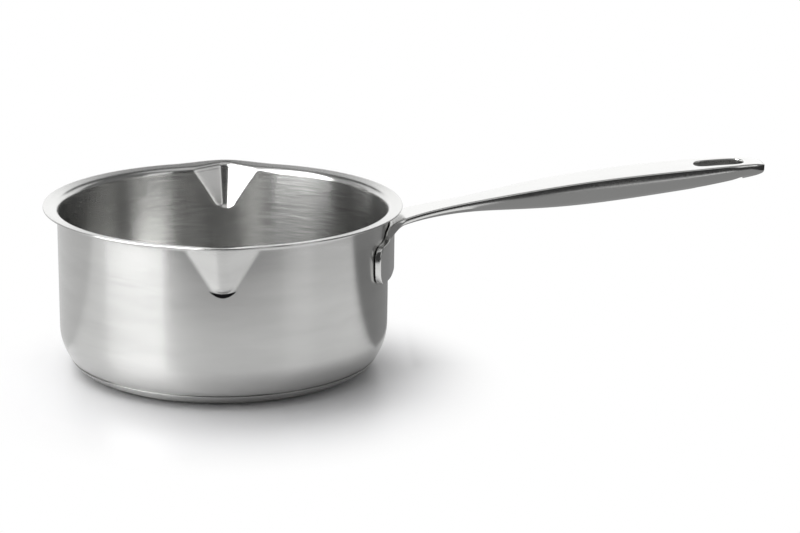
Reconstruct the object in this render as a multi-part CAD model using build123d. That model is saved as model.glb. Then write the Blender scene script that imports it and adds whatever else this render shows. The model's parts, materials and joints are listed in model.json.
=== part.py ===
from build123d import *
import os
from math import asin, atan2, cos, degrees, pi, radians, sin, sqrt

# A 16 cm stainless steel milk pan: a drawn sheet body with a flat rim and two pressed pouring lips,
# a sandwich base, and a long cast handle whose wide foot is welded to the wall.
# Units are millimetres. The origin is the centre of the base where it meets the table, +Z is up,
# the handle points along +X and the lips face +Y and -Y.

# Driving dimensions of the body
inner_radius = 80.0
sheet = 0.8
rim_radius = 87.6
rim_height = 81.0
rim_slope = 8.0
rim_bend = 3.0
corner_start = 21.0
corner_radius = 25.0
corner_turn = 35.0
tuck_radius = 3.0

# Driving dimensions of the pouring lips
lip_top = 79.0
lip_foot = 59.6
lip_half_width_top = 16.9
lip_half_width_foot = 4.8
lip_reach_top = 86.4
lip_reach_foot = 81.9
lip_nose_top = 7.0
lip_nose_foot = 4.2
lip_step = 3.0
lip_step_back = 2.1
lip_root = 72.0
bulge_out = 3.8
bulge_half_width = 27.0

# Driving dimensions of the sandwich base
cap_sheet = 0.6
cap_lip_radius = 76.25
cap_lip_height = 6.05
groove_gap = 0.12

# How many straight steps each round is drawn in, which keeps the part light
bend_steps = 3
corner_steps = 3
tuck_steps = 2
cap_steps = 4
groove_sides = 16
belly_steps = 6

# Driving dimensions of the handle's foot and its welds
foot_thickness = 2.85
foot_gap = 0.1
foot_half_width = 37.6
foot_bottom = 48.2
foot_top = 66.8
foot_corner = 5.0
foot_shoulder = 28.0
foot_fillet = 13.0
foot_neck_top = 71.0
nugget_radius = 2.5
nugget_sides = 8
nugget_depth = 1.2
nugget_heights = (53.5, 61.5)
nugget_angles = (-19.0, 0.0, 19.0)

# The bend that carries the foot into the grip, in slices that fan out from a centre under the strap:
# direction of the slice, distance to its top, width, height of the side band, full depth
bend_x = 88.75
bend_z = 65.0
bend_stations = (
    (180.0, 16.0, 50.0, 6.8, 11.0),
    (165.0, 16.0, 44.0, 7.7, 11.0),
    (150.0, 14.5, 39.0, 6.9, 9.5),
    (137.0, 10.8, 34.6, 3.8, 5.8),
    (120.0, 10.0, 29.6, 3.2, 5.0),
    (105.0, 9.8, 26.0, 2.9, 4.8),
)

# The handle's cross-section along its length:
# distance from the pan's axis, height of the top face, width, height of the side band, full depth
grip_stations = (
    (88.75, 75.1, 23.8, 2.7, 5.1),
    (96.0, 77.1, 20.6, 2.6, 5.2),
    (105.0, 79.1, 18.2, 2.4, 5.5),
    (115.0, 81.2, 16.8, 2.6, 6.0),
    (127.0, 83.7, 17.8, 3.3, 7.4),
    (141.0, 86.8, 21.6, 4.4, 10.0),
    (157.0, 89.9, 24.2, 5.0, 12.4),
    (172.0, 92.5, 25.6, 5.3, 13.8),
    (188.0, 94.9, 26.5, 5.4, 14.3),
    (207.0, 97.2, 26.8, 5.4, 13.8),
    (228.0, 99.3, 26.2, 4.9, 12.6),
    (245.0, 100.6, 22.8, 3.9, 10.7),
    (256.0, 101.2, 19.0, 3.6, 8.9),
)
tip_stations = (
    (256.0, 101.2, 19.0, 3.6, 8.9),
    (260.0, 101.35, 17.6, 3.4, 8.1),
    (263.2, 101.3, 15.0, 3.1, 7.0),
    (265.3, 101.15, 11.6, 2.7, 5.8),
    (266.3, 101.0, 8.2, 2.4, 4.9),
    (266.6, 100.9, 6.0, 2.2, 4.4),
)
edge_bevel = 0.9
slot_start = 231.8
slot_end = 256.5
slot_width = 12.2
slot_corner = 4.5

# Worked out from the driving dimensions
outer_radius = inner_radius + sheet
bend_centre_x = inner_radius + rim_bend
bend_end = 90.0 + rim_slope
flange_run = rim_radius - (bend_centre_x + rim_bend * cos(radians(bend_end)))
flange_drop = flange_run * sin(radians(rim_slope)) / cos(radians(rim_slope))
bend_centre_z = rim_height - flange_drop - rim_bend * sin(radians(bend_end))
block_top = rim_height + 4.0
air_top = block_top + 5.0
block_radius = rim_radius + 2 * bulge_out
corner_centre_x = outer_radius - corner_radius
tuck_centre_x = corner_centre_x + (corner_radius - tuck_radius) * cos(radians(corner_turn))
tuck_centre_z = corner_start - (corner_radius - tuck_radius) * sin(radians(corner_turn))
floor_height = tuck_centre_z - tuck_radius
cap_radius = cap_lip_height / (1 - sin(radians(corner_turn)))
cap_centre_x = cap_lip_radius - cap_radius * cos(radians(corner_turn))


def polar(centre, radius, angle):
    """A point at an angle in degrees round a centre."""
    return (centre[0] + radius * cos(radians(angle)), centre[1] + radius * sin(radians(angle)))


def stepped_round(centre, radius, start, turn, steps):
    """A round from a start angle through a turn, drawn as a few straight steps."""
    return Polyline(*[polar(centre, radius, start + turn * step / steps) for step in range(steps + 1)])


def flange_height(radius, inset=0.0):
    """Height of the sloping flange's top face, or of the face a given depth below it, at a radius."""
    slope = radians(rim_slope)
    return rim_height - (rim_radius - radius) * sin(slope) / cos(slope) - inset / cos(slope)


def body_skin(inset):
    """One side of the body's sheet in the radius and height plane, from the axis to the flange."""
    wall = outer_radius - inset
    tuck_centre = (tuck_centre_x, tuck_centre_z)
    corner_centre = (corner_centre_x, corner_start)
    bend_centre = (bend_centre_x, bend_centre_z)
    return [
        Line((0, floor_height + inset), (tuck_centre_x, floor_height + inset)),
        stepped_round(tuck_centre, tuck_radius - inset, -90, 90 - corner_turn, tuck_steps),
        stepped_round(corner_centre, corner_radius - inset, -corner_turn, corner_turn, corner_steps),
        Line((wall, corner_start), (wall, bend_centre_z)),
        stepped_round(bend_centre, bend_centre_x - wall, 180, bend_end - 180, bend_steps),
    ]


def outer_block():
    """The vessel's outside as a block that runs straight up past the rim, out to the bend's end."""
    bend_radius = bend_centre_x - outer_radius
    start = polar((bend_centre_x, bend_centre_z), bend_radius, bend_end)
    seam = (bend_centre_x, flange_height(bend_centre_x, sheet))
    frame = Polyline(start, seam, (bend_centre_x, block_top), (0, block_top), (0, floor_height))
    return revolve(Plane.XZ * make_face(body_skin(0) + [frame]), Axis.Z)


def inner_space():
    """Everything above and inside the sheet: the pan's hollow and the air over the flange."""
    start = polar((bend_centre_x, bend_centre_z), rim_bend, bend_end)
    edge = (block_radius, flange_height(block_radius))
    frame = Polyline(start, edge, (block_radius, air_top), (0, air_top), (0, floor_height + sheet))
    return revolve(Plane.XZ * make_face(body_skin(sheet) + [frame]), Axis.Z)


def rim_outline():
    """The rim seen from above: a circle that swells outwards round each lip."""
    edge = []
    for share in (-1.0, -0.66, -0.33, 0.0, 0.33, 0.66, 1.0):
        x = share * bulge_half_width
        edge.append((x, sqrt(rim_radius**2 - x**2) + bulge_out * cos(share * pi / 2) ** 2))
    lean = bulge_half_width / edge[0][1]
    bulge = Spline(*edge, tangents=[(1, lean), (1, -lean)])
    chord = Line(edge[-1], edge[0])
    swelling = make_face([bulge, chord])
    return Circle(rim_radius) + swelling + mirror(swelling, Plane.XZ)


def rim_block():
    """The flange's underside and edge as a block that runs straight up past the rim."""
    outline = Polyline(
        (bend_centre_x, flange_height(bend_centre_x, sheet)),
        (block_radius, flange_height(block_radius, sheet)),
        (block_radius, block_top),
        (bend_centre_x, block_top),
        close=True,
    )
    ring = revolve(Plane.XZ * make_face(outline), Axis.Z)
    return ring & extrude(rim_outline(), 2 * block_top)


def lip_section(height, grow):
    """A horizontal slice of the lip's V, with a rounded nose, grown outwards by the sheet for its outside."""
    share = (height - lip_foot) / (lip_top - lip_foot)
    half_width = lip_half_width_foot + share * (lip_half_width_top - lip_half_width_foot)
    nose = lip_nose_foot + share * (lip_nose_top - lip_nose_foot)
    centre = lip_reach_foot + share * (lip_reach_top - lip_reach_foot) - nose
    rise = centre - sqrt(inner_radius**2 - half_width**2)
    slope = atan2(rise, half_width) + asin(nose / sqrt(half_width**2 + rise**2))
    touch_x = (nose + grow) * sin(slope)
    touch_y = centre + (nose + grow) * cos(slope)
    root_x = touch_x + (touch_y - lip_root) * cos(slope) / sin(slope)
    outline = [
        Line((-root_x, lip_root), (root_x, lip_root)),
        Line((root_x, lip_root), (touch_x, touch_y)),
        ThreePointArc((touch_x, touch_y), (0, centre + nose + grow), (-touch_x, touch_y)),
        Line((-touch_x, touch_y), (-root_x, lip_root)),
    ]
    return Pos(0, 0, height) * make_face(outline)


def lip_valley():
    """The space inside one lip, cut right up through the rim."""
    return loft([lip_section(lip_foot, 0), lip_section(block_top, 0)], ruled=True)


def lip_block():
    """The outside of one lip down to its blunt step, which runs back to the wall."""
    step = lip_foot - sheet
    main = loft([lip_section(step, sheet), lip_section(block_top, sheet)], ruled=True)
    blunt_end = lip_section(step, sheet)
    foot = loft([Pos(0, -lip_step_back, -lip_step) * blunt_end, blunt_end], ruled=True)
    return main + foot


def pan_body():
    """The drawn vessel with its flat rim and a pouring lip pressed into each side."""
    lip = lip_block()
    valley = lip_valley()
    block = outer_block() + rim_block() + lip + mirror(lip, Plane.XZ)
    return block - inner_space() - valley - mirror(valley, Plane.XZ)


def cap_section(inset):
    """Half of the base cup's section, up to its level edge, set in from its outside by a given depth."""
    radius = cap_radius - inset
    turn = degrees(asin((cap_radius - cap_lip_height) / radius))
    edge = polar((cap_centre_x, cap_radius), radius, -turn)
    return make_face([
        Line((0, inset), (cap_centre_x, inset)),
        stepped_round((cap_centre_x, cap_radius), radius, -90, 90 - turn, cap_steps),
        Line(edge, (0, edge[1])),
        Line((0, edge[1]), (0, inset)),
    ])


def base_cap():
    """The outer steel cup of the sandwich base, whose upper edge leaves the groove line in view."""
    cup = revolve(Plane.XZ * (cap_section(0) - cap_section(cap_sheet)), Axis.Z)
    tuck = RegularPolygon(tuck_radius + groove_gap, groove_sides)
    hugged = Pos(tuck_centre_x, tuck_centre_z) * tuck
    return cup - revolve(Plane.XZ * hugged, Axis.Z)


def heat_core():
    """The aluminium disc that fills the base between the body's floor and the cap."""
    filling = revolve(Plane.XZ * cap_section(cap_sheet), Axis.Z)
    edge_radius = tuck_centre_x - sheet
    level = Cylinder(edge_radius, floor_height, align=(Align.CENTER, Align.CENTER, Align.MIN))
    return filling & level


def cross_section(place, top, width, band, depth):
    """One slice of the handle: flat top, eased edges, upright side bands and a bellied underside."""
    half = width / 2
    low = top - band
    upper = Polyline(
        (-half, low),
        (-half, top - edge_bevel),
        (-half + edge_bevel, top),
        (half - edge_bevel, top),
        (half, top - edge_bevel),
        (half, low),
    )
    sag = depth - band
    round_radius = (half**2 + sag**2) / (2 * sag)
    centre = (0, top - depth + round_radius)
    start = degrees(atan2(low - centre[1], -half))
    belly = stepped_round(centre, round_radius, start, -180 - 2 * start, belly_steps)
    return place * make_face([upper, belly])


def grip_section(station):
    """An upright slice across the handle at a distance from the pan's axis."""
    distance, top, width, band, depth = station
    across = Plane(origin=(distance, 0, 0), x_dir=(0, 1, 0), z_dir=(1, 0, 0))
    return cross_section(across, top, width, band, depth)


def bend_section(station):
    """A leaning slice through the bend, seen from the bend's centre."""
    lean, top, width, band, depth = station
    forward = (sin(radians(lean)), 0, -cos(radians(lean)))
    across = Plane(origin=(bend_x, 0, bend_z), x_dir=(0, 1, 0), z_dir=forward)
    return cross_section(across, top, width, band, depth)


def hanging_slot():
    """The rounded rectangular hole near the handle's tip."""
    middle = (slot_start + slot_end) / 2
    hole = RectangleRounded(slot_end - slot_start, slot_width, slot_corner)
    return Pos(middle, 0, rim_height) * extrude(hole, 2 * foot_half_width)


def foot_outline():
    """The foot seen from the handle's tip: a wide rounded plate that narrows upwards into the strap."""
    neck_half = foot_shoulder - foot_fillet
    above = foot_top + foot_fillet
    right = [
        Line((0, foot_bottom), (foot_half_width - foot_corner, foot_bottom)),
        CenterArc((foot_half_width - foot_corner, foot_bottom + foot_corner), foot_corner, -90, 90),
        Line((foot_half_width, foot_bottom + foot_corner), (foot_half_width, foot_top - foot_corner)),
        CenterArc((foot_half_width - foot_corner, foot_top - foot_corner), foot_corner, 0, 90),
        Line((foot_half_width - foot_corner, foot_top), (foot_shoulder, foot_top)),
        CenterArc((foot_shoulder, above), foot_fillet, -90, -90),
        Line((neck_half, above), (0, above)),
    ]
    half = make_face(right + [Line((0, foot_bottom), (0, above))])
    whole = half + mirror(half, Plane.YZ)
    across = Plane(origin=(0, 0, 0), x_dir=(0, 1, 0), z_dir=(1, 0, 0))
    return extrude(across * whole, 2 * rim_radius)


def foot_plate():
    """The foot that hugs the wall, cut from a ring to its rounded outline."""
    inner = outer_radius + foot_gap
    height = foot_neck_top - foot_bottom
    ring = Cylinder(inner + foot_thickness, height) - Cylinder(inner, height)
    return Pos(0, 0, foot_bottom + height / 2) * ring & foot_outline()


def weld_nuggets():
    """The fused spots that hold the foot to the wall, hidden behind the foot."""
    reach = outer_radius + foot_gap + nugget_depth
    pin = extrude(RegularPolygon(nugget_radius, nugget_sides), reach)
    lying = Rot(0, 90, 0) * pin
    spots = []
    for angle in nugget_angles:
        for height in nugget_heights:
            spots.append(Rot(0, 0, angle) * Pos(0, 0, height) * lying)
    return Part() + spots - Cylinder(outer_radius, 4 * rim_height)


def handle():
    """The whole cast handle: foot, bend, bellied grip, rounded tip and hanging slot."""
    leaning = [bend_section(station) for station in bend_stations]
    upright = [grip_section(station) for station in grip_stations]
    wall_room = Cylinder(outer_radius + foot_gap, 4 * rim_height)
    bend = loft(leaning + upright[:1], ruled=True) - wall_room
    grip = loft(upright)
    tip = loft([grip_section(station) for station in tip_stations], ruled=True)
    whole = grip + tip + (bend + foot_plate()) - hanging_slot()
    return whole - weld_nuggets()


os.makedirs("parts", exist_ok=True)
makers = (pan_body, base_cap, heat_core, handle, weld_nuggets)
for maker in makers:
    solid = maker()
    export_step(solid, f"parts/{maker.__name__}.step")
    box = solid.bounding_box()
    print(maker.__name__, len(solid.solids()), "solids, from", box.min, "to", box.max)
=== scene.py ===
# %% [markdown]
# # A stainless steel milk pan
# The real object is a 16 cm milk pan: a deep-drawn sheet body with a flat flared rim and two pressed
# pouring lips, a sandwich base under it, and one long cast handle welded to the wall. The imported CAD
# model is loaded first and stays as it is. Everything below is made to sit exactly on it, in the same
# frame: the origin is the middle of the base on the table, +Z is up, +X runs along the handle and the
# lips face +Y and -Y.

# %% Load the frame
import json
import math
import bmesh
import bpy
from mathutils import Matrix, Vector


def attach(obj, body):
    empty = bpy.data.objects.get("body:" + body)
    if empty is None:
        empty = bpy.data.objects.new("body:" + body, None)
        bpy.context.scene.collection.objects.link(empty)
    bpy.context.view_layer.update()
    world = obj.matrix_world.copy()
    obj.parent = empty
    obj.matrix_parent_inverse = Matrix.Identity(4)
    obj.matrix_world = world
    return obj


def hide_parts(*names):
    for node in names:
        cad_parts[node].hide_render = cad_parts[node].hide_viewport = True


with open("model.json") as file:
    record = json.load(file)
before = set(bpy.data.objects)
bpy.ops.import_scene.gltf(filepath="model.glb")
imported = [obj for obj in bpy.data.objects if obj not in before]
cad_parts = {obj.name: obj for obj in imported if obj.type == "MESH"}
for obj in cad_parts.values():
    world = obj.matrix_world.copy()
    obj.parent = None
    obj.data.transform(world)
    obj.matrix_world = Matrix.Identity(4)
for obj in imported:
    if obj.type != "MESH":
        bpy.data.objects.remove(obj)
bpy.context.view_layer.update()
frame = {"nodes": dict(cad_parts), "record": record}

print("nodes:", sorted(frame["nodes"]))

# %% [markdown]
# ## Working in millimetres
# Sheet metal is talked about in millimetres, so every shape is drawn in millimetres in a bmesh, and one
# helper scales it to metres when it becomes an object. The object itself then stays at the origin,
# unturned and unscaled, which keeps its object coordinates equal to real places on the pan.

# %% From a bmesh in millimetres to a finished object
metres_per_mm = 0.001


def make_piece(bm, name):
    """Scale a bmesh to metres, write it to a mesh and link it as an object at the origin."""
    bmesh.ops.scale(bm, vec=(metres_per_mm,) * 3, verts=bm.verts)
    mesh = bpy.data.meshes.new(name)
    bm.to_mesh(mesh)
    bm.free()
    mesh.shade_smooth()
    piece = bpy.data.objects.new(name, mesh)
    bpy.context.scene.collection.objects.link(piece)
    return piece


def soften_edges(piece, width, segments, turn):
    """Round the edges that turn by more than an angle in degrees, with a width in millimetres."""
    softened = piece.modifiers.new("softened edges", "BEVEL")
    softened.width = width * metres_per_mm
    softened.segments = segments
    softened.limit_method = "ANGLE"
    softened.angle_limit = math.radians(turn)


def apply_modifiers(piece):
    """Turn the modified shape into the piece's own mesh, so that it exports just as it shows."""
    shown = piece.evaluated_get(bpy.context.evaluated_depsgraph_get())
    finished = bpy.data.meshes.new_from_object(shown)
    piece.modifiers.clear()
    piece.data = finished
    finished.shade_smooth()
    print(piece.name, "has", len(finished.polygons), "faces")


# %% [markdown]
# ## Drawing a profile with one vertex
# Round sheet metal is a profile turned about an axis. A profile can be drawn the way a pen moves: a
# vertex is extruded for a straight run, and spun about a centre for a round. The spin operator gives
# true arcs, which matters on polished metal because reflections show every flat spot.

# %% The pen: straight runs and rounds
def draw_line(bm, pen, radius, height):
    """Extrude the pen's vertex to a new place in the radius and height plane."""
    run = bmesh.ops.extrude_vert_indiv(bm, verts=[pen])
    moved = run["verts"][0]
    moved.co = (radius, 0, height)
    return moved


def draw_round(bm, pen, centre, turn, steps):
    """Spin the pen's vertex about a centre, by a turn in degrees that goes from +X towards +Z."""
    arc = bmesh.ops.spin(
        bm,
        geom=[pen],
        cent=(centre[0], 0, centre[1]),
        axis=(0, -1, 0),
        angle=math.radians(turn),
        steps=steps,
        use_merge=False,
    )
    return [part for part in arc["geom_last"] if isinstance(part, bmesh.types.BMVert)][0]


def on_circle(centre, radius, angle):
    """A point on a circle at an angle in degrees."""
    return (
        centre[0] + radius * math.cos(math.radians(angle)),
        centre[1] + radius * math.sin(math.radians(angle)),
    )


# %% [markdown]
# ## The body's inside skin
# The pan is pressed from one sheet, 0.8 mm thick. Its inside skin is a flat floor, a tight tuck, a wide
# corner, an upright wall, and a bend that rolls outwards into the flat rim. Only this skin is drawn: the
# sheet's thickness comes later, from a Solidify modifier, so that it is even all over. The rim slopes a
# little, so its cut edge leans outwards by 0.1 mm, and the skin's rim is drawn that much smaller.

# %% Sizes of the body
inner_radius = 80.0
sheet = 0.8
rim_radius = 87.5
rim_height = 81.0
close_enough = 0.001
rim_slope = math.radians(8.0)
bend_radius = 3.0
bend_turn = 82.0
bend_centre = (inner_radius + bend_radius, 77.324)
corner_centre = (55.8, 21.0)
corner_turn = 35.0
tuck_centre = on_circle(corner_centre, 22.0, -corner_turn)
tuck_radius = 3.0
floor_height = tuck_centre[1] - tuck_radius + sheet
plain_wall_top = 54.5
print("inside floor is", round(floor_height, 2), "mm above the table")

# %% Draw the skin's profile
body = bmesh.new()
pen = body.verts.new((0, 0, floor_height))
pen = draw_line(body, pen, tuck_centre[0], floor_height)
pen = draw_round(body, pen, tuck_centre, 90 - corner_turn, 5)
pen = draw_round(body, pen, corner_centre, corner_turn, 12)
low_wall = draw_line(body, pen, inner_radius, plain_wall_top)
wall_top = draw_line(body, low_wall, inner_radius, bend_centre[1])
pen = draw_round(body, wall_top, bend_centre, -bend_turn, 8)
bend_end = Vector(on_circle(bend_centre, bend_radius, 180 - bend_turn))
for share in (0.25, 0.5, 0.75, 1.0):
    along = bend_end.lerp(Vector((rim_radius, rim_height)), share)
    pen = draw_line(body, pen, along.x, along.y)
print("profile has", len(body.verts), "vertices")

# %% Give the wall enough rows for the pouring lips
lip_rows = 46


def edge_between(bm, first, last):
    """The edge that joins two vertices."""
    return [edge for edge in first.link_edges if edge.other_vert(first) == last][0]


bmesh.ops.subdivide_edges(body, edges=[edge_between(body, low_wall, wall_top)], cuts=lip_rows)
print("profile now has", len(body.verts), "vertices")

# %% [markdown]
# ## Turning the profile
# A full spin would give every sector the same number of columns. The two pouring lips need fine columns
# for their creases and the plain wall doesn't, so the profile is spun in four sectors, each starting
# from the last edge of the one before.

# %% Spin four sectors: plain, lip, plain, lip
lip_sector = 40.0
plain_sector = 180.0 - lip_sector
plain_columns = 70
lip_columns = 124
bmesh.ops.rotate(
    body, cent=(0, 0, 0), matrix=Matrix.Rotation(math.radians(-plain_sector / 2), 3, "Z"), verts=body.verts
)
last = body.verts[:] + body.edges[:]
for sector, columns in 2 * ((plain_sector, plain_columns), (lip_sector, lip_columns)):
    swept = bmesh.ops.spin(
        body,
        geom=last,
        cent=(0, 0, 0),
        axis=(0, 0, 1),
        angle=math.radians(sector),
        steps=columns,
        use_merge=False,
    )
    last = swept["geom_last"]
bmesh.ops.remove_doubles(body, verts=body.verts, dist=close_enough)
print("turned skin has", len(body.faces), "faces")

# %% [markdown]
# ## Pressing the pouring lips
# Each lip is a V-shaped channel that a punch pushes outwards through the wall: wide at the rim, narrow
# at its foot, where it ends in a blunt step. The V is worked out as a height field, the distance that
# the channel reaches from the pan's middle plane, and each wall vertex moves outwards to it where it
# lies beyond the round wall. A smooth maximum leaves the small crease radius that pressed sheet has.

# %% The channel's sizes at its foot and at its top
lip_foot = 59.6
lip_top = 79.0
half_width_at_foot = 4.8
half_width_at_top = 16.9
nose_at_foot = 4.2
nose_at_top = 7.0
reach_at_foot = 81.9
reach_at_top = 86.4
lip_step = 3.0
lip_step_back = 2.7
crease = 0.6
print("each channel is", round(lip_top - lip_foot, 1), "mm long and ends in a step of", lip_step, "mm")


# %% The channel's reach at any place
def between(low, high, share):
    """The value that lies a share of the way from one value to another."""
    return low + (high - low) * share


def lip_reach(x, height):
    """How far out the channel's inside surface lies, at a distance from the lip's middle plane."""
    share = (max(height, lip_foot) - lip_foot) / (lip_top - lip_foot)
    half_width = between(half_width_at_foot, half_width_at_top, share)
    nose = between(nose_at_foot, nose_at_top, share)
    centre = between(reach_at_foot, reach_at_top, share) - nose
    rise = centre - math.sqrt(inner_radius**2 - half_width**2)
    slope = math.atan2(rise, half_width) + math.asin(nose / math.hypot(half_width, rise))
    step_back = lip_step_back * max(0.0, lip_foot - height) / lip_step
    across = abs(x)
    touch = nose * math.sin(slope)
    if across < touch:
        return centre + math.sqrt(nose**2 - across**2) - step_back
    return centre + nose * math.cos(slope) - (across - touch) * math.tan(slope) - step_back


def smooth_larger(first, second, blend):
    """The larger of two lengths, rounded where they are about equal.

    The round is a parabola that meets both lengths without a kink, which takes a quarter of the blend.
    """
    closeness = max(0.0, 1.0 - abs(first - second) / blend)
    return max(first, second) + blend / 4 * closeness**2


for height in (lip_top, lip_foot):
    print("at a height of", height, "mm the lip reaches out", round(lip_reach(0, height), 1), "mm")

# %% [markdown]
# ## The rim round a lip
# Round each lip the flat rim swells outwards, so that there is still metal outside the channel. The bend
# between wall and rim keeps its radius and follows the channel's edge. So each column of vertices is
# laid again along the line from the channel's edge to the swollen rim.

# %% The rim's outline round a lip
bulge_out = 3.8
bulge_half_width = 27.0
channel_edge_height = 78.0
bend_reach = bend_radius + bend_radius * math.cos(math.radians(180 - bend_turn))
bend_rise = bend_radius * math.sin(math.radians(180 - bend_turn))


def rim_outline(x):
    """The swollen rim's distance from the middle plane between the lips."""
    round_rim = math.sqrt(rim_radius**2 - x**2)
    if abs(x) > bulge_half_width:
        return round_rim
    return round_rim + bulge_out * math.cos(math.pi * x / bulge_half_width / 2) ** 2


def wall_outline(x, height):
    """The wall's distance from the middle plane, with the channel pressed into it."""
    return smooth_larger(math.sqrt(inner_radius**2 - x**2), lip_reach(x, height), crease)


print("in the middle of a lip the skin's rim reaches out", round(rim_outline(0), 1), "mm")


# %% Press both lips into the skin
def press_vertex(vert):
    """Move one vertex of the upper wall, the bend or the rim to its place round the lip."""
    side = 1 if vert.co.y > 0 else -1
    radius = math.hypot(vert.co.x, vert.co.y)
    sine = vert.co.x / radius
    out = radius - inner_radius
    edge = Vector((inner_radius * sine, wall_outline(inner_radius * sine, channel_edge_height)))
    lift = (edge.length - inner_radius) * math.tan(rim_slope)
    if out < close_enough:
        share = max(0.0, (vert.co.z - lip_foot) / (bend_centre[1] - lip_foot))
        vert.co.z += lift * share
        vert.co.y = side * wall_outline(vert.co.x, vert.co.z)
        return
    edge.y = wall_outline(edge.x, bend_centre[1] + lift)
    rim = Vector((rim_radius * sine, rim_outline(rim_radius * sine)))
    along = rim - edge
    run = along.length
    along.normalize()
    if out <= bend_reach + close_enough:
        place = edge + along * out
        vert.co = (place.x, side * place.y, vert.co.z + lift)
        return
    share = (out - bend_reach) / (rim_radius - inner_radius - bend_reach)
    place = edge + along * (bend_reach + share * (run - bend_reach))
    low = bend_centre[1] + lift + bend_rise
    high = rim_height + (rim.length - rim_radius) * math.tan(rim_slope)
    vert.co = (place.x, side * place.y, low + share * (high - low))


pressed = 0
sector_edge = math.tan(math.radians(lip_sector / 2 + 0.01))
for vert in body.verts:
    beside_lip = abs(vert.co.x) < abs(vert.co.y) * sector_edge
    if beside_lip and vert.co.z > lip_foot - lip_step:
        press_vertex(vert)
        pressed += 1
print("pressed", pressed, "vertices")

# %% [markdown]
# ## Giving the sheet its thickness
# The spin may leave the faces pointing either way, so they are recalculated first, and turned round if
# the floor faces down. Solidify then grows the sheet outwards from the inside skin, and a small Bevel
# softens the rim's two cut edges, which catch a thin line of light on the real pan.

# %% Finish the body
rim_edge_round = 0.22
bmesh.ops.recalc_face_normals(body, faces=body.faces)
floor_face = min(body.faces, key=lambda face: face.calc_center_median().length)
if floor_face.normal.z < 0:
    bmesh.ops.reverse_faces(body, faces=body.faces)
pan_body = make_piece(body, "dressed_pan_body")
thickness = pan_body.modifiers.new("sheet", "SOLIDIFY")
thickness.thickness = sheet * metres_per_mm
thickness.offset = -1
thickness.use_even_offset = True
soften_edges(pan_body, rim_edge_round, segments=3, turn=60)
apply_modifiers(pan_body)
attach(pan_body, "root")
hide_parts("pan_body")

# %% [markdown]
# ## The base cap
# Under the body sits a thin steel cup, pressed over an aluminium disc. Its upper edge stops just short
# of the body's corner and leaves a fine groove all round, which is the dark line near the bottom of the
# real pan. It is a closed profile, turned once round with its seam merged.

# %% Sizes of the base cap
cap_sheet = 0.6
cap_lip_radius = 76.25
cap_lip_height = 6.05
groove_gap = 0.12
cap_edge_round = 0.08
cap_columns = 160
cap_radius = cap_lip_height / (1 - math.sin(math.radians(corner_turn)))
cap_centre = (cap_lip_radius - cap_radius * math.cos(math.radians(corner_turn)), cap_radius)
hug_radius = tuck_radius + groove_gap
hug_start = -math.degrees(math.asin((tuck_centre[1] - cap_lip_height) / hug_radius))
hug_end = -80.0
inner_start = -45.0
print("the base stands on a circle", round(2 * cap_centre[0], 1), "mm across")

# %% Draw and turn the base cap
cap = bmesh.new()
pen = cap.verts.new((0, 0, 0))
pen = draw_line(cap, pen, cap_centre[0], 0)
pen = draw_round(cap, pen, cap_centre, 90 - corner_turn, 14)
lip_inside = on_circle(tuck_centre, hug_radius, hug_start)
pen = draw_line(cap, pen, lip_inside[0], cap_lip_height)
pen = draw_round(cap, pen, tuck_centre, hug_end - hug_start, 4)
inside_wall = on_circle(cap_centre, cap_radius - cap_sheet, inner_start)
pen = draw_line(cap, pen, inside_wall[0], inside_wall[1])
pen = draw_round(cap, pen, cap_centre, -90 - inner_start, 8)
pen = draw_line(cap, pen, 0, cap_sheet)
bmesh.ops.spin(
    cap,
    geom=cap.verts[:] + cap.edges[:],
    cent=(0, 0, 0),
    axis=(0, 0, 1),
    angle=math.radians(360),
    steps=cap_columns,
    use_merge=True,
)
bmesh.ops.remove_doubles(cap, verts=cap.verts, dist=close_enough)
bmesh.ops.recalc_face_normals(cap, faces=cap.faces)
base_cap = make_piece(cap, "dressed_base_cap")
print("base cap has", len(base_cap.data.polygons), "faces")
soften_edges(base_cap, cap_edge_round, segments=2, turn=40)
apply_modifiers(base_cap)
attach(base_cap, "root")
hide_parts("base_cap")

# %% [markdown]
# ## The handle's cage
# The handle is one casting that changes its section all the way: a wide foot that hugs the wall, a tight
# bend out of the foot, a slim neck, a full bellied grip and a squared, rounded tip. The natural tool is a
# subdivision cage: one ring of 22 vertices is extruded from section to section and each new ring is moved
# to its place. The ring has close pairs of vertices along its arrises, which keeps them crisp when the
# surface is subdivided.

# %% One section of the cage
arris_round = 0.9
sharp_below = 9.0
top_pair_in = 1.15
side_pair_down = 0.2
belly_pair_in = 0.8
belly_pair_up = 0.3
lesser_column = 0.26


def ring_section(half, top, belly, column):
    """A section as across and depth pairs, once round from the middle of its top.

    top and belly are functions that give each face's depth at a distance across, and column is how far
    out the pair of long columns lies that later frames the hanging slot. The arrises get tighter where
    half the width is less than sharp_below.
    """
    soft = arris_round * min(1.0, half / sharp_below)
    inner = half - top_pair_in * soft
    under = half - belly_pair_in * soft
    halfway = 0.5 * (column + under)
    right = [
        (0.0, top(0.0)),
        (lesser_column * column, top(lesser_column * column)),
        (column, top(column)),
        (inner, top(inner)),
        (half - side_pair_down * soft, top(half) - side_pair_down * soft),
        (half, top(half) - top_pair_in * soft),
        (half, belly(half) + belly_pair_up * soft),
        (under, belly(under)),
        (halfway, belly(halfway)),
        (column, belly(column)),
        (lesser_column * column, belly(lesser_column * column)),
        (0.0, belly(0.0)),
    ]
    left = [(-across, depth) for across, depth in right[-2:0:-1]]
    return right + left


print("a section has", len(ring_section(10.0, lambda across: 0.0, lambda across: -5.0, 6.0)), "vertices")

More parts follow.
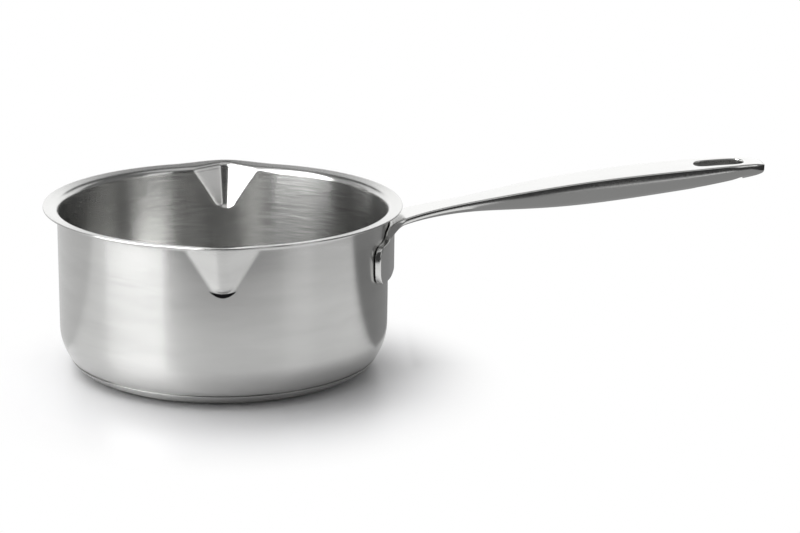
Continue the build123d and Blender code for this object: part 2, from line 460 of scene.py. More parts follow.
# %% [markdown]
# ## Where each section stands
# Three kinds of row make the handle. Level rows make the foot, which is a 2.85 mm plate bent to the wall.
# Leaning rows fan out round a centre under the strap and carry the plate up and outwards. Upright rows
# make the grip. In all three, the depth is measured along one direction and the belly side is what you
# see from outside: the foot's outer face runs on into the underside of the grip.

# %% Sizes of the foot and the bend
fan_centre = (88.75, 65.0)
wall_hug = 81.1
foot_face = 83.95
underside_round = 5.0
plain_column = 0.6
foot_rows = ((48.2, 33.4), (48.8, 35.0), (50.2, 36.5), (53.2, 37.5), (58.0, 37.6), (62.0, 37.6), (65.0, 36.5))
fan_rows = (
    (175.0, 35.0),
    (172.0, 33.0),
    (170.0, 28.8),
    (165.0, 24.8),
    (158.0, 22.2),
    (150.0, 20.3),
    (143.0, 19.0),
    (136.0, 17.6),
    (128.0, 16.0),
    (119.0, 14.6),
    (105.0, 13.1),
)
strap_tops = ((90.0, 10.1), (105.0, 9.8), (119.0, 10.0), (128.0, 10.35), (136.0, 10.8), (180.0, 30.0))
strap_curves = ((90.0, 0.0170), (105.0, 0.0112), (119.0, 0.0082), (136.0, 0.0067), (180.0, 0.0068))
strap_leaves_wall = 130.0
strap_is_flat_above = 136.0
flat_strap = 11.1
flat_strap_lean = 0.47
plate_turns_over = 30.0
print("the foot is", 2 * foot_rows[4][1], "mm wide and", round(foot_face - wall_hug, 2), "mm thick")


# %% A leaning section and a level one
def between_rows(table, place):
    """A value between the two nearest rows of a table."""
    for (first, low), (second, high) in zip(table, table[1:]):
        if place <= second:
            return between(low, high, (place - first) / (second - first))
    return table[-1][1]


def fan_row(lean, half):
    """A leaning section at an angle in degrees above the outward direction, which hugs the wall low down."""
    away = abs(math.cos(math.radians(lean)))
    climb = math.sin(math.radians(lean))
    strap = between_rows(strap_tops, lean)
    if lean > strap_is_flat_above:
        strap = flat_strap / (climb + flat_strap_lean * away)
    curve = between_rows(strap_curves, lean)
    share = min(1.0, (180.0 - lean) / plate_turns_over)

    def top(across):
        if lean < strap_leaves_wall:
            return strap
        wall = (fan_centre[0] - math.sqrt(wall_hug**2 - across**2)) / away
        return min(wall, strap)

    def belly(across):
        plate = (fan_centre[0] - math.sqrt(foot_face**2 - across**2)) / max(away, 0.5)
        bend = underside_round + curve * across**2
        return between(plate, bend, share)

    section = ring_section(half, top, belly, plain_column * half)
    ahead = math.cos(math.radians(lean))
    return [
        (fan_centre[0] + ahead * depth, across, fan_centre[1] + climb * depth) for across, depth in section
    ]


def foot_row(height, half):
    """A level section through the foot, a plate bent to the round wall."""
    section = ring_section(
        half,
        lambda across: -math.sqrt(wall_hug**2 - across**2),
        lambda across: -math.sqrt(foot_face**2 - across**2),
        plain_column * half,
    )
    return [(-depth, across, height) for across, depth in section]


# %% [markdown]
# ## The grip's rows
# Each upright row has a flat top, two upright side bands and a round belly. The numbers are the section's
# place along the handle, the height of its top, its width, the height of its side band and its full
# depth. Close to the slot the long columns stop following the width and run straight, because they frame
# the hole.

# %% Sizes of the grip and the tip
grip_rows = (
    (88.75, 75.1, 23.8, 2.7, 5.1),
    (96.0, 77.1, 20.6, 2.6, 5.2),
    (105.0, 79.1, 18.2, 2.4, 5.5),
    (115.0, 81.2, 16.8, 2.6, 6.0),
    (127.0, 83.7, 17.8, 3.3, 7.4),
    (141.0, 86.8, 21.6, 4.4, 10.0),
    (157.0, 89.9, 24.2, 5.0, 12.4),
    (172.0, 92.5, 25.6, 5.3, 13.8),
    (188.0, 94.9, 26.5, 5.4, 14.3),
    (207.0, 97.2, 26.8, 5.4, 13.8),
    (226.0, 99.15, 26.3, 4.9, 12.7),
    (231.8, 99.6, 25.6, 4.7, 12.2),
    (236.3, 99.95, 24.8, 4.45, 11.7),
    (241.2, 100.35, 23.8, 4.15, 11.15),
    (247.1, 100.75, 22.4, 3.85, 10.4),
    (252.0, 101.0, 20.8, 3.7, 9.6),
    (256.5, 101.2, 18.8, 3.55, 8.8),
    (260.0, 101.35, 17.6, 3.4, 8.1),
    (263.2, 101.2, 15.4, 3.5, 7.15),
    (265.3, 100.95, 12.4, 3.3, 6.1),
    (266.3, 100.5, 9.4, 2.8, 5.2),
    (266.6, 100.0, 7.0, 2.3, 4.3),
)
slot_from = 231.8
slot_to = 256.5
slot_half_width = 6.1
slot_corner = 4.5
slot_edge_round = 0.45
print("the slot is", round(slot_to - slot_from, 1), "by", 2 * slot_half_width, "mm")


# %% An upright section
def grip_row(distance, top_height, width, band, depth):
    """An upright section: flat top, side bands and a belly that is an arc of a circle."""
    half = width / 2
    sag = depth - band
    belly_radius = (half**2 + sag**2) / (2 * sag)
    lowest = top_height - depth

    def belly(across):
        return lowest + belly_radius - math.sqrt(belly_radius**2 - min(across, half) ** 2)

    framed = slot_from <= distance <= slot_to
    column = slot_half_width if framed else plain_column * half
    section = ring_section(half, lambda across: top_height, belly, column)
    return [(distance, across, height) for across, height in section]


# %% [markdown]
# ## Extruding the ring
# The first ring is a circle of 22 vertices, moved to the foot's bottom edge. Then its edges are extruded
# and the new vertices moved, again and again, to the tip. Each new vertex is found from the old one that
# it hangs on, so the order round the ring is kept.

# %% Build the cage
cage = bmesh.new()
sections = [foot_row(*row) for row in foot_rows]
sections += [fan_row(*row) for row in fan_rows]
sections += [grip_row(*row) for row in grip_rows]
bmesh.ops.create_circle(cage, segments=len(sections[0]), radius=1.0)
ring = cage.verts[:]
for vert, place in zip(ring, sections[0]):
    vert.co = place
rings = [ring]
for section in sections[1:]:
    members = set(ring)
    edges = [edge for edge in cage.edges if edge.verts[0] in members and edge.verts[1] in members]
    grown = bmesh.ops.extrude_edge_only(cage, edges=edges)
    fresh = {part for part in grown["geom"] if isinstance(part, bmesh.types.BMVert)}
    ring = [next(e.other_vert(old) for e in old.link_edges if e.other_vert(old) in fresh) for old in ring]
    for vert, place in zip(ring, section):
        vert.co = place
    rings.append(ring)
print("cage has", len(rings), "rings and", len(cage.faces), "faces")

# %% Close the two ends
top_chain = (18, 19, 20, 21, 0, 1, 2, 3, 4)
belly_chain = (15, 14, 13, 12, 11, 10, 9, 8, 7)


def chain_edges(ring, chain):
    """The edges along part of a ring."""
    picked = [ring[index] for index in chain]
    return [edge_between(cage, first, second) for first, second in zip(picked, picked[1:])]


for ring in (rings[0], rings[-1]):
    bmesh.ops.grid_fill(cage, edges=chain_edges(ring, top_chain) + chain_edges(ring, belly_chain))
open_edges = [edge for edge in cage.edges if edge.is_boundary]
print("open edges after closing the ends:", len(open_edges))

# %% [markdown]
# ## The hanging slot
# The faces between the two long columns are taken out of the top and the belly, the four corners of each
# hole are moved onto a round, and the two holes are bridged. A bevel round both mouths gives the soft
# edge that a cast and polished slot has.

# %% Cut the slot
top_columns = (20, 21, 0, 1, 2)
belly_columns = (9, 10, 11, 12, 13)
corner_columns = (2, 20, 9, 13)
corner_pull = slot_corner * (1 - math.sqrt(0.5))
slot_rings = [ring for ring, row in zip(rings[-len(grip_rows):], grip_rows) if slot_from <= row[0] <= slot_to]
for ring, pull in ((slot_rings[0], corner_pull), (slot_rings[-1], -corner_pull)):
    for index in corner_columns:
        ring[index].co.x += pull
        ring[index].co.y -= math.copysign(corner_pull, ring[index].co.y)
for columns in (top_columns, belly_columns):
    corners = {ring[index] for ring in slot_rings for index in columns}
    bmesh.ops.delete(cage, geom=[face for face in cage.faces if set(face.verts) <= corners], context="FACES")
mouths = [edge for edge in cage.edges if edge.is_boundary]
bmesh.ops.bridge_loops(cage, edges=mouths)
bmesh.ops.bevel(
    cage,
    geom=mouths,
    offset=slot_edge_round,
    segments=2,
    profile=0.5,
    affect="EDGES",
    material=-1,
    clamp_overlap=True,
)
bmesh.ops.recalc_face_normals(cage, faces=cage.faces)
print("slot mouths had", len(mouths), "edges; open edges now:", sum(edge.is_boundary for edge in cage.edges))

# %% Finish the handle
handle = make_piece(cage, "dressed_handle")
rounding = handle.modifiers.new("cast surface", "SUBSURF")
rounding.levels = 3
rounding.render_levels = 3
apply_modifiers(handle)
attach(handle, "root")
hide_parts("handle")

# %% [markdown]
# ## Steel, in general
# Bare metal has no colour of its own: it tints what it mirrors. So the base colour is the steel's
# reflectance, metallic is 1, and the finish is all in the roughness, its grain and the direction in
# which the brushing smears reflections.

# %% Helpers for node materials
def new_steel(name, colour, roughness):
    """A material with a metallic shader, ready for its grain."""
    material = bpy.data.materials.new(name)
    material.use_nodes = True
    shader = material.node_tree.nodes["Principled BSDF"]
    shader.inputs["Base Color"].default_value = (*colour, 1)
    shader.inputs["Metallic"].default_value = 1
    shader.inputs["Roughness"].default_value = roughness
    return material, material.node_tree, shader


def add_node(tree, kind, label, **values):
    """A new node with some of its settings given by name."""
    node = tree.nodes.new(kind)
    node.label = label
    for key, value in values.items():
        setattr(node, key, value)
    return node


def work_out(tree, operation, first, second=0.0):
    """A Math node whose inputs are each another node's output or a plain number."""
    node = add_node(tree, "ShaderNodeMath", operation.lower(), operation=operation)
    for socket, source in zip(node.inputs, (first, second)):
        if isinstance(source, (int, float)):
            socket.default_value = source
        else:
            tree.links.new(source, socket)
    return node.outputs[0]


def add_noise(tree, place, label, scale, detail):
    """A noise pattern that is worked out from a place."""
    noise = add_node(tree, "ShaderNodeTexNoise", label)
    noise.inputs["Scale"].default_value = scale
    noise.inputs["Detail"].default_value = detail
    tree.links.new(place, noise.inputs["Vector"])
    return noise


slot_colours = {slot["slot"]: slot["base_color"] for slot in frame["record"]["materials"]}
print("finishes in the record:", sorted(slot_colours))

# %% A helper for turned grain
def turned_grain(tree, across_scale, along_scale):
    """Noise in fine rings round the pan's axis, as brushing on a lathe leaves it.

    across_scale and along_scale set how fine the noise is across the rings, for each metre, and along
    them, for each radian. The ring number is the distance from the axis plus the height, so the grain runs
    on over the corner between wall and floor. The place along a ring is a point on a unit circle, which has
    no seam.
    """
    place = add_node(tree, "ShaderNodeTexCoord", "place on the pan")
    split = add_node(tree, "ShaderNodeSeparateXYZ", "split the place")
    flat = add_node(tree, "ShaderNodeVectorMath", "drop the height", operation="MULTIPLY")
    flat.inputs[1].default_value = (1, 1, 0)
    radius = add_node(tree, "ShaderNodeVectorMath", "distance from the axis", operation="LENGTH")
    unit = add_node(tree, "ShaderNodeVectorMath", "point on a unit circle", operation="NORMALIZE")
    ring = work_out(tree, "ADD", radius.outputs["Value"], split.outputs["Z"])
    fine_ring = work_out(tree, "MULTIPLY", ring, across_scale)
    stretched = add_node(tree, "ShaderNodeVectorMath", "long streaks", operation="SCALE")
    stretched.inputs["Scale"].default_value = along_scale
    lift = add_node(tree, "ShaderNodeCombineXYZ", "ring as height")
    joined = add_node(tree, "ShaderNodeVectorMath", "streak place", operation="ADD")
    streaks = add_noise(tree, joined.outputs["Vector"], "streaks", scale=1, detail=3)
    streaks.inputs["Roughness"].default_value = 0.6
    link = tree.links.new
    link(place.outputs["Object"], split.inputs[0])
    link(place.outputs["Object"], flat.inputs[0])
    link(flat.outputs["Vector"], radius.inputs[0])
    link(flat.outputs["Vector"], unit.inputs[0])
    link(unit.outputs["Vector"], stretched.inputs[0])
    link(fine_ring, lift.inputs["Z"])
    link(stretched.outputs["Vector"], joined.inputs[0])
    link(lift.outputs["Vector"], joined.inputs[1])
    return streaks


def vary(tree, source, target, low, high):
    """Let a grey pattern move a value between two limits."""
    spread = add_node(tree, "ShaderNodeMapRange", "limits")
    spread.inputs["To Min"].default_value = low
    spread.inputs["To Max"].default_value = high
    tree.links.new(source, spread.inputs["Value"])
    tree.links.new(spread.outputs["Result"], target)


def raise_grain(tree, source, shader, strength, height):
    """Give the surface the small relief of its grain, with its height in metres."""
    bump = add_node(tree, "ShaderNodeBump", "relief")
    bump.inputs["Strength"].default_value = strength
    bump.inputs["Distance"].default_value = height
    tree.links.new(source, bump.inputs["Height"])
    tree.links.new(bump.outputs["Normal"], shader.inputs["Normal"])
    return bump


def tint(tree, source, shader, colour, darker):
    """Let a pattern shade the colour slightly, down to a share of it."""
    mix = add_node(tree, "ShaderNodeMix", "shading of the steel", data_type="RGBA")
    mix.inputs["A"].default_value = (*[darker * part for part in colour], 1)
    mix.inputs["B"].default_value = (*colour, 1)
    tree.links.new(source, mix.inputs["Factor"])
    tree.links.new(mix.outputs["Result"], shader.inputs["Base Color"])


# %% [markdown]
# ## The body's satin brushing
# The body was brushed while it turned, so its scratches run round it, and every reflection is smeared
# upwards and downwards across them. An anisotropic shader does that: the value sets how much, and a
# quarter turn of its direction makes the smear run up the wall. The inside is brushed more coarsely than
# the outside, and the material tells them apart by how far out and down a point lies from the corner's
# centre, against the middle of the sheet. The underside of the base comes out as inside too, so it has the
# coarser brushing.

# %% Places on the pan
def place_in_mm(tree):
    """The place across, the place along and the height of a point on the pan, in millimetres."""
    place = add_node(tree, "ShaderNodeTexCoord", "place on the pan")
    in_mm = add_node(tree, "ShaderNodeVectorMath", "millimetres", operation="SCALE")
    in_mm.inputs["Scale"].default_value = 1 / metres_per_mm
    split = add_node(tree, "ShaderNodeSeparateXYZ", "split the place")
    tree.links.new(place.outputs["Object"], in_mm.inputs[0])
    tree.links.new(in_mm.outputs["Vector"], split.inputs[0])
    return split.outputs["X"], split.outputs["Y"], split.outputs["Z"]


def sum_of_squares(tree, first, second):
    """The sum of two squares."""
    first_square = work_out(tree, "MULTIPLY", first, first)
    second_square = work_out(tree, "MULTIPLY", second, second)
    return work_out(tree, "ADD", first_square, second_square)


def inside_of_sheet(tree):
    """One inside the body's middle surface, nought outside it."""
    x, y, z = place_in_mm(tree)
    radius = work_out(tree, "SQRT", sum_of_squares(tree, x, y))
    beyond = work_out(tree, "MAXIMUM", work_out(tree, "SUBTRACT", radius, corner_centre[0]), 0.0)
    below = work_out(tree, "MAXIMUM", work_out(tree, "SUBTRACT", corner_centre[1], z), 0.0)
    middle = inner_radius + sheet / 2 - corner_centre[0]
    return work_out(tree, "LESS_THAN", sum_of_squares(tree, beyond, below), middle**2)


print("the sheet's middle surface has a radius of", inner_radius + sheet / 2, "mm")

# %% Brushed steel
outside_streaks = (2600.0, 2.2)
inside_streaks = (1900.0, 5.0)
cloudy_rings = (90.0, 1.3)
smear = 0.9
quarter_turn = 0.25
relief_height = 0.00003
relief_outside = 0.03
relief_inside = 0.2
streaks_outside = 0.12
streaks_inside = 0.85
clear_from = 0.36
clear_to = 0.64
darkest_streak = 0.78
uneven = 0.04
print("the brushing's relief is", round(relief_height / metres_per_mm, 3), "mm high")


def brushed_steel(name, slot_name, roughness):
    """Steel that was brushed round the pan's axis."""
    colour = slot_colours[slot_name]
    material, tree, shader = new_steel(name, colour, roughness)
    shader.inputs["Anisotropic"].default_value = smear
    shader.inputs["Anisotropic Rotation"].default_value = quarter_turn
    fine = turned_grain(tree, *outside_streaks)
    coarse = turned_grain(tree, *inside_streaks)
    cloud = turned_grain(tree, *cloudy_rings)
    inside = inside_of_sheet(tree)
    grain = add_node(tree, "ShaderNodeMix", "coarser inside", data_type="FLOAT")
    tree.links.new(inside, grain.inputs["Factor"])
    tree.links.new(fine.outputs["Fac"], grain.inputs["A"])
    tree.links.new(coarse.outputs["Fac"], grain.inputs["B"])
    streaks = grain.outputs["Result"]
    clear = add_node(tree, "ShaderNodeMapRange", "clear streaks")
    clear.inputs["From Min"].default_value = clear_from
    clear.inputs["From Max"].default_value = clear_to
    tree.links.new(streaks, clear.inputs["Value"])
    vary(tree, streaks, shader.inputs["Roughness"], low=roughness - uneven, high=roughness + uneven)
    shade = add_node(tree, "ShaderNodeMix", "cloud and streaks", data_type="FLOAT")
    vary(tree, inside, shade.inputs["Factor"], low=streaks_outside, high=streaks_inside)
    tree.links.new(cloud.outputs["Fac"], shade.inputs["A"])
    tree.links.new(clear.outputs["Result"], shade.inputs["B"])
    tint(tree, shade.outputs["Result"], shader, colour, darkest_streak)
    relief = raise_grain(tree, streaks, shader, strength=relief_outside, height=relief_height)
    vary(tree, inside, relief.inputs["Strength"], low=relief_outside, high=relief_inside)
    print(name, "has", len(tree.nodes), "nodes")
    return material


brushed_body = brushed_steel("satin brushed steel", "brushed_body", roughness=0.23)
base_steel = brushed_steel("satin brushed base steel", "base_steel", roughness=0.32)
pan_body.data.materials.append(brushed_body)
base_cap.data.materials.append(base_steel)

# %% [markdown]
# ## Painted shade under each lip
# Where a lip's foot steps back into the wall, a dark crescent with its ends turned up lies in the crease.
# It is painted shade, which stands in for the dark shadow that the step mirrors. A parabola in the
# material, drawn in millimetres, paints the steel near black there.

# %% Painted shade in the crease
crescent_half_width = 6.3
crescent_top = 58.5
crescent_drop = 2.15
crescent_core = 0.9
crescent_edge = 1.2
least_width = 0.001
# The crescent's colour is painted shade: near black, for the dark shadow that the crease mirrors.
painted_shade_colour = (0.012, 0.012, 0.013, 1)


def painted_crease_shade(tree):
    """One on the dark crescent of painted shade under each lip's foot, nought elsewhere."""
    x, y, z = place_in_mm(tree)
    across = work_out(tree, "DIVIDE", x, crescent_half_width)
    narrowing = work_out(tree, "SUBTRACT", 1.0, work_out(tree, "MULTIPLY", across, across))
    drop = work_out(tree, "SUBTRACT", crescent_top, z)
    share = work_out(tree, "DIVIDE", drop, work_out(tree, "MAXIMUM", narrowing, least_width))
    from_middle = work_out(tree, "ABSOLUTE", work_out(tree, "SUBTRACT", share, crescent_drop))
    soft = add_node(tree, "ShaderNodeMapRange", "soft edge", interpolation_type="SMOOTHSTEP")
    soft.inputs["From Min"].default_value = crescent_edge
    soft.inputs["From Max"].default_value = crescent_core
    tree.links.new(from_middle, soft.inputs["Value"])
    outer_face = work_out(tree, "GREATER_THAN", work_out(tree, "ABSOLUTE", y), inner_radius + sheet / 2)
    return work_out(tree, "MULTIPLY", soft.outputs["Result"], outer_face)


def darken(tree, mask, colour):
    """Lay a colour over the steel's own where a mask is one."""
    shader = tree.nodes["Principled BSDF"]
    steel = shader.inputs["Base Color"].links[0].from_socket
    # The mix lays a painted shade over the steel's own colour.
    covered = add_node(tree, "ShaderNodeMix", "painted crease shade", data_type="RGBA")
    covered.inputs["B"].default_value = colour
    tree.links.new(mask, covered.inputs["Factor"])
    tree.links.new(steel, covered.inputs["A"])
    tree.links.new(covered.outputs["Result"], shader.inputs["Base Color"])


# Paint the shade of each lip's crease onto the body's steel.
darken(brushed_body.node_tree, painted_crease_shade(brushed_body.node_tree), painted_shade_colour)
print("each crescent is", 2 * crescent_half_width, "mm wide")

# %% [markdown]
# ## The handle's polish
# The cast handle is polished by hand after casting. It mirrors the studio almost cleanly, with a slight
# haze that is never quite even, and a few fine scratches along its length.

# %% Polished handle
scratch_stretch = (60, 900, 900)
haze_scale = 45


def polished_steel(name, slot_name, roughness):
    """Cast steel, polished along its length."""
    colour = slot_colours[slot_name]
    material, tree, shader = new_steel(name, colour, roughness)
    place = add_node(tree, "ShaderNodeTexCoord", "place on the handle")
    along = add_node(tree, "ShaderNodeMapping", "stretch along the handle")
    along.inputs["Scale"].default_value = scratch_stretch
    tree.links.new(place.outputs["Object"], along.inputs["Vector"])
    scratches = add_noise(tree, along.outputs["Vector"], "polishing scratches", scale=1, detail=4)
    haze = add_noise(tree, place.outputs["Object"], "uneven haze", haze_scale, detail=2)
    vary(tree, haze.outputs["Fac"], shader.inputs["Roughness"], low=roughness - 0.03, high=roughness + 0.05)
    tint(tree, haze.outputs["Fac"], shader, colour, darker=0.95)
    raise_grain(tree, scratches.outputs["Fac"], shader, strength=0.06, height=0.00002)
    print(name, "has", len(tree.nodes), "nodes")
    return material


handle_steel = polished_steel("polished cast steel", "handle_steel", roughness=0.16)
handle.data.materials.append(handle_steel)

# %% [markdown]
# ## Pieces that the assembly hides
# The aluminium disc and the fused weld spots are closed in by the steel, so they keep their CAD shapes.
# They still get finishes of their own, because the part may be shown taken apart: dull aluminium with a
# fine grain, and darker, blotched weld metal.

# %% Core and weld metal
def cast_metal(name, slot_name, roughness, grain_scale, darker):
    """A dull metal with a fine even grain."""
    colour = slot_colours[slot_name]
    material, tree, shader = new_steel(name, colour, roughness)
    place = add_node(tree, "ShaderNodeTexCoord", "place")
    grain = add_noise(tree, place.outputs["Object"], "grain", grain_scale, detail=5)
    vary(tree, grain.outputs["Fac"], shader.inputs["Roughness"], low=roughness - 0.08, high=roughness + 0.08)
    tint(tree, grain.outputs["Fac"], shader, colour, darker)
    raise_grain(tree, grain.outputs["Fac"], shader, strength=0.2, height=0.00005)
    print(name, "has", len(tree.nodes), "nodes")
    return material


def give_finish(node_name, material):
    """Put a material on a CAD node."""
    mesh = frame["nodes"][node_name].data
    mesh.materials.clear()
    mesh.materials.append(material)


aluminium = cast_metal("dull aluminium", "core_aluminium", roughness=0.5, grain_scale=700, darker=0.85)
weld_metal = cast_metal("fused weld steel", "weld_steel", roughness=0.6, grain_scale=900, darker=0.6)
give_finish("heat_core", aluminium)
give_finish("weld_nuggets", weld_metal)

# %% [markdown]
# ## The floor
# The pan stands on a pale sweep. Near it, the floor is plain satin white, which takes the soft shadow.
# Further out it turns into the white of the background, so that no horizon shows. That white is a glow of
# strength 1 that the camera and reflections see. It doesn't light matt surfaces.

# %% Rays that see the white background
def ray_sees_white(tree):
    """One for a ray from the camera, off a reflecting surface or through glass, nought for any other."""
    paths = add_node(tree, "ShaderNodeLightPath", "kind of ray")
    seen = work_out(tree, "MAXIMUM", paths.outputs["Is Camera Ray"], paths.outputs["Is Glossy Ray"])
    return work_out(tree, "MAXIMUM", seen, paths.outputs["Is Transmission Ray"])


# %% Floor
floor_size = 8.0
shadow_middle = (0.005, -0.03)
shadow_ends = (0.065, 0.135)
bpy.ops.mesh.primitive_plane_add(size=floor_size, location=(0, 0, 0))
floor = bpy.context.object
floor.name = "floor"
floor_material = bpy.data.materials.new("pale floor")
floor_material.use_nodes = True
tree = floor_material.node_tree
shader = tree.nodes["Principled BSDF"]
shader.inputs["Base Color"].default_value = (0.86, 0.86, 0.87, 1)
shader.inputs["Roughness"].default_value = 0.35
shader.inputs["Specular IOR Level"].default_value = 0.4
floor.data.materials.append(floor_material)
print("the shadow fades out between", shadow_ends[0], "and", shadow_ends[1], "m")

# %% Let the floor fade to the background
place = add_node(tree, "ShaderNodeTexCoord", "place on the floor")
centred = add_node(tree, "ShaderNodeMapping", "centred on the shadow")
centred.inputs["Location"].default_value = (-shadow_middle[0], -shadow_middle[1], 0)
distance = add_node(tree, "ShaderNodeVectorMath", "distance from the shadow's middle", operation="LENGTH")
fade = add_node(tree, "ShaderNodeMapRange", "fade to the background", interpolation_type="SMOOTHSTEP")
fade.inputs["From Min"].default_value = shadow_ends[0]
fade.inputs["From Max"].default_value = shadow_ends[1]
white = add_node(tree, "ShaderNodeEmission", "white background")
blend = add_node(tree, "ShaderNodeMixShader", "floor or background")
link = tree.links.new
link(place.outputs["Object"], centred.inputs["Vector"])
link(centred.outputs["Vector"], distance.inputs[0])
link(distance.outputs["Value"], fade.inputs["Value"])
link(work_out(tree, "MULTIPLY", fade.outputs["Result"], ray_sees_white(tree)), blend.inputs["Fac"])
link(shader.outputs["BSDF"], blend.inputs[1])
link(white.outputs["Emission"], blend.inputs[2])
link(blend.outputs["Shader"], tree.nodes["Material Output"].inputs["Surface"])
print("the floor's material has", len(tree.nodes), "nodes")

# %% [markdown]
# ## The studio
# Polished metal shows the room, so the room is most of the picture. The background is white for the
# camera and in reflections alike. For everything else the same white world is only a soft fill.

# %% World
fill_level = 0.42
world = bpy.data.worlds.new("studio")
bpy.context.scene.world = world
world.use_nodes = True
tree = world.node_tree
background = tree.nodes["Background"]
background.inputs["Color"].default_value = (1, 1, 1, 1)
level = add_node(tree, "ShaderNodeMapRange", "white or fill")
level.inputs["To Min"].default_value = fill_level
level.inputs["To Max"].default_value = 1.0
tree.links.new(ray_sees_white(tree), level.inputs["Value"])
tree.links.new(level.outputs["Result"], background.inputs["Strength"])
print("the world fills shadows at", fill_level)

# %% [markdown]
# ## Cards
# A white room alone would make the steel look like paper, so a photographer hangs cards round the set: the
# steel mirrors them and its forms stand out. Each card is a sheet of even grey that the camera never sees
# and that throws no shadow. Three of them, behind the camera and at both sides, also keep some of the
# world's fill off the floor, which makes the shadow deeper close to the pan.
#
# A wall that is looked at from above mirrors what is below the horizon, so four cards lie on the floor.
# The one in front makes the dark band along the handle and the grey round the front lip. The one beside
# the pan makes the wall's dark right edge, the one at the left shades its left edge, and the one at the
# right darkens the handle's tip. A card just under the handle gives its belly one even grey. The cards
# behind the camera and over the set darken the inside, and the ones at the sides shade the wall, the
# inside and the back lip. The bright card at the back lights the rim and the handle's top, and the pale
# one overhead is there for views from above.

# %% A card
def hang_card(name, middle, facing, size, brightness, shades=False):
    """An even grey card that reflections show; one that shades also keeps the world's fill off the floor."""
    bm = bmesh.new()
    bmesh.ops.create_grid(bm, x_segments=1, y_segments=1, size=0.5)
    bmesh.ops.scale(bm, vec=(size[0], size[1], 1), verts=bm.verts)
    turned = Vector(facing).to_track_quat("Z", "Y").to_matrix()
    bmesh.ops.rotate(bm, cent=(0, 0, 0), matrix=turned, verts=bm.verts)
    bmesh.ops.translate(bm, vec=middle, verts=bm.verts)
    mesh = bpy.data.meshes.new(name)
    bm.to_mesh(mesh)
    bm.free()
    card = bpy.data.objects.new(name, mesh)
    bpy.context.scene.collection.objects.link(card)
    mesh.materials.append(even_grey(name, brightness))
    card.visible_camera = False
    card.visible_diffuse = shades
    card.visible_shadow = False
    print(name, "has a brightness of", brightness)


def even_grey(name, brightness):
    """A material that shows the same grey from every side."""
    material = bpy.data.materials.new(name)
    material.use_nodes = True
    tree = material.node_tree
    tree.nodes.clear()
    glow = add_node(tree, "ShaderNodeEmission", "even grey")
    glow.inputs["Color"].default_value = (1, 1, 1, 1)
    glow.inputs["Strength"].default_value = brightness
    surface = add_node(tree, "ShaderNodeOutputMaterial", "surface")
    tree.links.new(glow.outputs[0], surface.inputs["Surface"])
    return material


# %% Hang the cards
ahead = (0, 1, 0)
back = (0, -1, 0)
leftwards = (-1, 0, 0)
rightwards = (1, 0, 0)
upwards = (0, 0, 1)
downwards = (0, 0, -1)
hang_card("card behind the camera", (0.2, -1.8, 1.1), ahead, size=(3.2, 2.2), brightness=0.05, shades=True)
hang_card("card at the right", (1.5, -0.4, 1.1), leftwards, size=(2.8, 2.2), brightness=0.2, shades=True)
hang_card("card at the left", (-1.9, 0.4, 1.1), rightwards, size=(2.0, 2.2), brightness=0.5, shades=True)
hang_card("pale card overhead", (0, -0.2, 1.35), downwards, size=(1.5, 1.3), brightness=0.85)
hang_card("card over the set", (0, 1.35, 2.2), downwards, size=(3.8, 6.3), brightness=0.15)
hang_card("bright card at the back", (0.1, 2.3, 0.62), back, size=(4.6, 0.8), brightness=1.36)
hang_card("floor card in front", (0.7, -1.05, 0.002), upwards, size=(2.2, 1.5), brightness=0.04)
hang_card("floor card beside the pan", (0.257, 0.302, 0.002), upwards, size=(0.326, 0.62), brightness=0.28)
hang_card("card under the handle", (0.2285, 0.01, 0.06), upwards, size=(0.207, 0.22), brightness=0.32)
hang_card("floor card at the right", (1.1, 0.15, 0.002), upwards, size=(1.36, 2.1), brightness=0.04)
hang_card("floor card at the left", (-0.92, 0.55, 0.002), upwards, size=(1.66, 1.1), brightness=0.74)

# %% [markdown]
# ## Lamps
# A ceiling panel lights the floor and throws the soft shadow. The steel would show it as a hot spot, so it
# isn't mirrored. The large softbox at the left is the other way round: the steel mirrors it as the bright
# band down the wall and inside, and the floor isn't lit by it, because its shadow would reach far to the
# right. A small fill stands at the right.

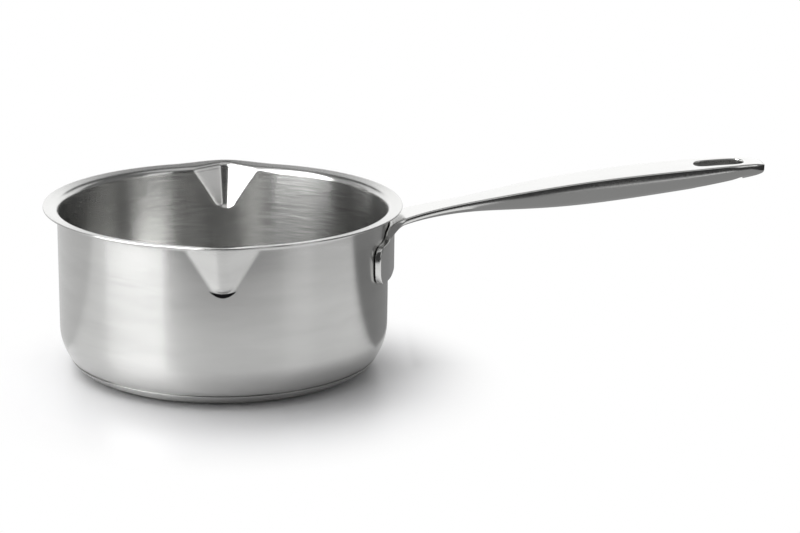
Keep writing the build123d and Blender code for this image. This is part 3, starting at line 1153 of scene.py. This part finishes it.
# %% Hang the lamps
pan_middle = (0.0, 0.0, 0.05)


def soft_panel(name, place, size, power):
    """An area lamp that faces the pan."""
    lamp = bpy.data.lights.new(name, "AREA")
    lamp.shape = "RECTANGLE"
    lamp.size = size[0]
    lamp.size_y = size[1]
    lamp.energy = power
    holder = bpy.data.objects.new(name, lamp)
    holder.location = place
    holder.rotation_euler = (Vector(pan_middle) - Vector(place)).to_track_quat("-Z", "Y").to_euler()
    bpy.context.scene.collection.objects.link(holder)
    return holder


ceiling = soft_panel("ceiling panel", (-0.3, 0.1, 1.5), size=(1.2, 1.2), power=18.0)
ceiling.visible_glossy = False
softbox = soft_panel("left softbox", (-1.1, -0.6, 0.85), size=(1.35, 1.8), power=50.0)
softbox.visible_diffuse = False
soft_panel("right fill", (1.1, -0.9, 0.5), size=(0.5, 0.8), power=1.2)
print("lamps:", [lamp.name for lamp in bpy.data.lights])

# %% [markdown]
# ## The camera
# The photograph was taken from a little above the rim with a long lens. The camera's place, tilt and lens
# were found by matching the outlines of rim, groove and handle; there is no shift.

# %% Camera
camera_place = Vector((0.0091, -1.0388, 0.3363))
camera_yaw = 0.0748
camera_pitch = 0.2703
camera_roll = 0.0155
forward = Vector(
    (
        math.sin(camera_yaw) * math.cos(camera_pitch),
        math.cos(camera_yaw) * math.cos(camera_pitch),
        -math.sin(camera_pitch),
    )
)
level_right = Vector((math.cos(camera_yaw), -math.sin(camera_yaw), 0))
level_up = level_right.cross(forward)
right = level_right * math.cos(camera_roll) + level_up * math.sin(camera_roll)
up = level_up * math.cos(camera_roll) - level_right * math.sin(camera_roll)
turn = Matrix((right, up, -forward)).transposed().to_4x4()
lens = bpy.data.cameras.new("camera")
lens.lens = 98.02
lens.sensor_width = 36.0
camera = bpy.data.objects.new("camera", lens)
camera.matrix_world = Matrix.Translation(camera_place) @ turn
bpy.context.scene.collection.objects.link(camera)
bpy.context.scene.camera = camera
bpy.context.scene.view_settings.view_transform = "Standard"
print("the camera looks down by", round(math.degrees(camera_pitch), 1), "degrees")
